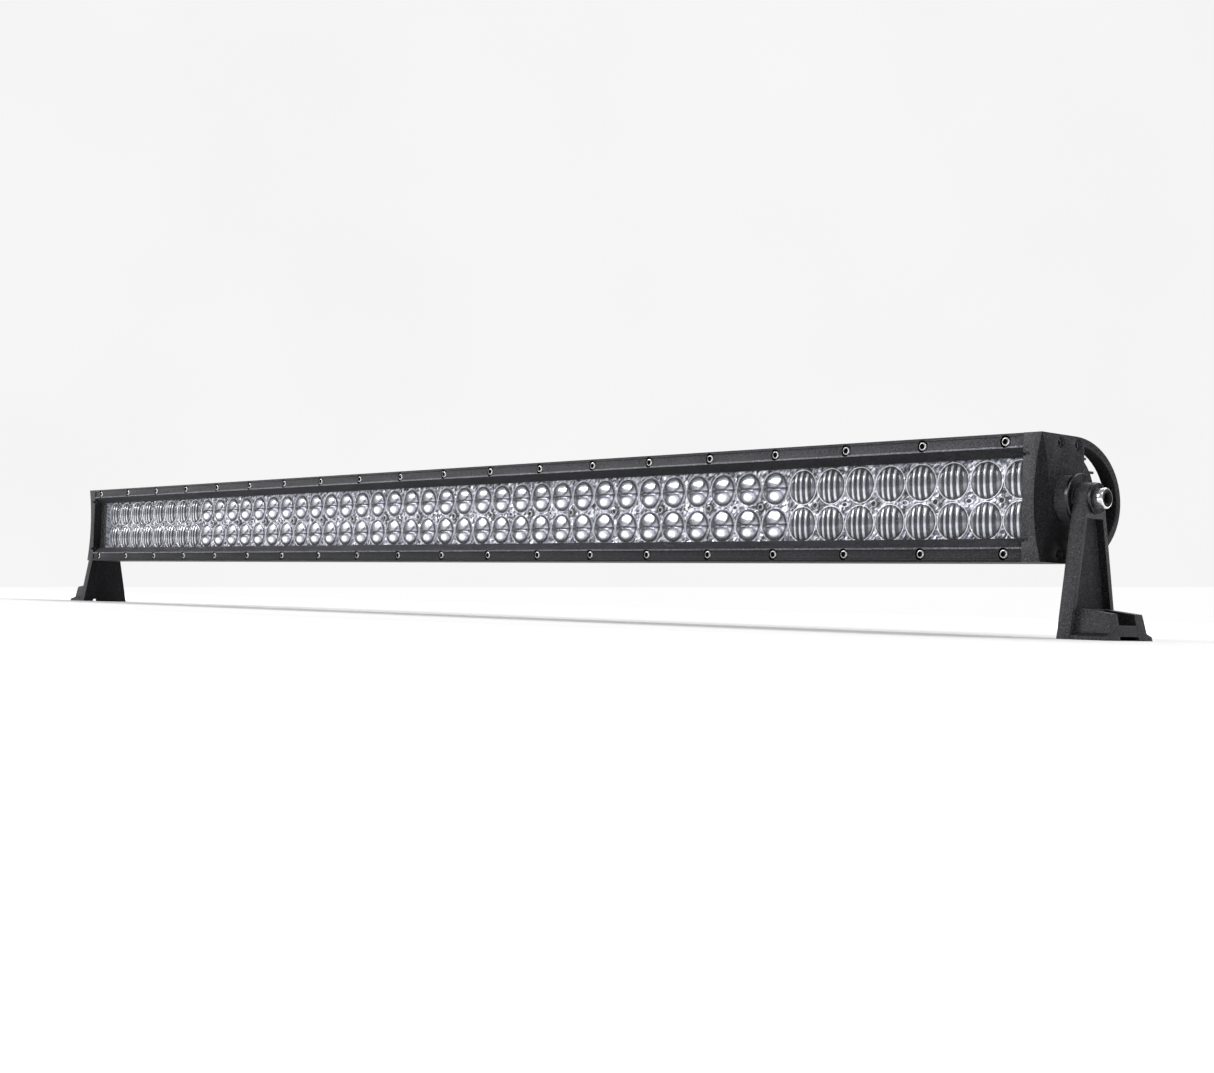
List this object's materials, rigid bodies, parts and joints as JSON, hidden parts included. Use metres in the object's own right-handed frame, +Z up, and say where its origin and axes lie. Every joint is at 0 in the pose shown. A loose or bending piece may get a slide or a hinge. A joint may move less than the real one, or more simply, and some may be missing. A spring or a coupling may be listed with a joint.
{
  "type": "led light bar",
  "caption": "Straight double-row LED light bar: finned housing with D-shaped end caps, clear front over lens groups, and a swivelling foot bracket at each end.",
  "frame": {"origin": "on the mounting plane under the feet, midway between the centres of the two foot slots", "axes": "+X along the bar, the lenses face -Y, +Z up from the mounting plane"},
  "size_m": [1.36, 0.09, 0.1264],
  "materials": {
    "powder_coat": "black textured powder coat",
    "cover_clear": "clear hard-coated polycarbonate",
    "lens_clear": "clear moulded acrylic",
    "reflector_metal": "vacuum-metallised, bright",
    "board_white": "white solder mask",
    "led_phosphor": "yellow phosphor",
    "thermal_pad": "soft silicone",
    "stainless": "bright stainless",
    "dark_steel": "black oxide",
    "seal_rubber": "matte",
    "nylon_black": "moulded nylon",
    "brass_contact": "tinned brass",
    "wire_red": "PVC insulation"
  },
  "bodies": {
    "light_bar": {"heatsink_housing": "powder_coat", "top_rail": "powder_coat", "bottom_rail": "powder_coat", "front_cover": "cover_clear", "cover_gasket": "seal_rubber", "led_packages": "led_phosphor", "thermal_pads": "thermal_pad", "tray_screws": "stainless", "board_links": "brass_contact", "feed_wires": "wire_red", "cable_gland": "nylon_black", "gland_seal": "seal_rubber", "gland_nut": "nylon_black", "rail_screws_top": "stainless", "rail_screws_bottom": "stainless", "lens_group_1": "lens_clear", "reflector_tray_1": "reflector_metal", "led_board_1": "board_white", "lens_group_2": "lens_clear", "reflector_tray_2": "reflector_metal", "led_board_2": "board_white", "lens_group_3": "lens_clear", "reflector_tray_3": "reflector_metal", "led_board_3": "board_white", "lens_group_4": "lens_clear", "reflector_tray_4": "reflector_metal", "led_board_4": "board_white", "lens_group_5": "lens_clear", "reflector_tray_5": "reflector_metal", "led_board_5": "board_white", "lens_group_6": "lens_clear", "reflector_tray_6": "reflector_metal", "led_board_6": "board_white", "end_cap_left": "powder_coat", "end_gasket_left": "seal_rubber", "end_screws_left": "stainless", "pivot_disc_left": "dark_steel", "tooth_washer_left": "dark_steel", "pivot_bolt_left": "stainless", "end_cap_right": "powder_coat", "end_gasket_right": "seal_rubber", "end_screws_right": "stainless", "pivot_disc_right": "dark_steel", "tooth_washer_right": "dark_steel", "pivot_bolt_right": "stainless"},
    "bracket_left": {"bracket_left": "powder_coat"},
    "bracket_right": {"bracket_right": "powder_coat"}
  },
  "joints": [
    {"name": "left_bracket_swivel", "type": "hinge", "parent": "light_bar", "child": "bracket_left", "pos_m": [-0.6456, 0, 0.0864], "axis": [1, 0, 0], "continuous": true},
    {"name": "right_bracket_swivel", "type": "hinge", "parent": "light_bar", "child": "bracket_right", "pos_m": [0.6456, 0, 0.0864], "axis": [1, 0, 0], "continuous": true}
  ]
}
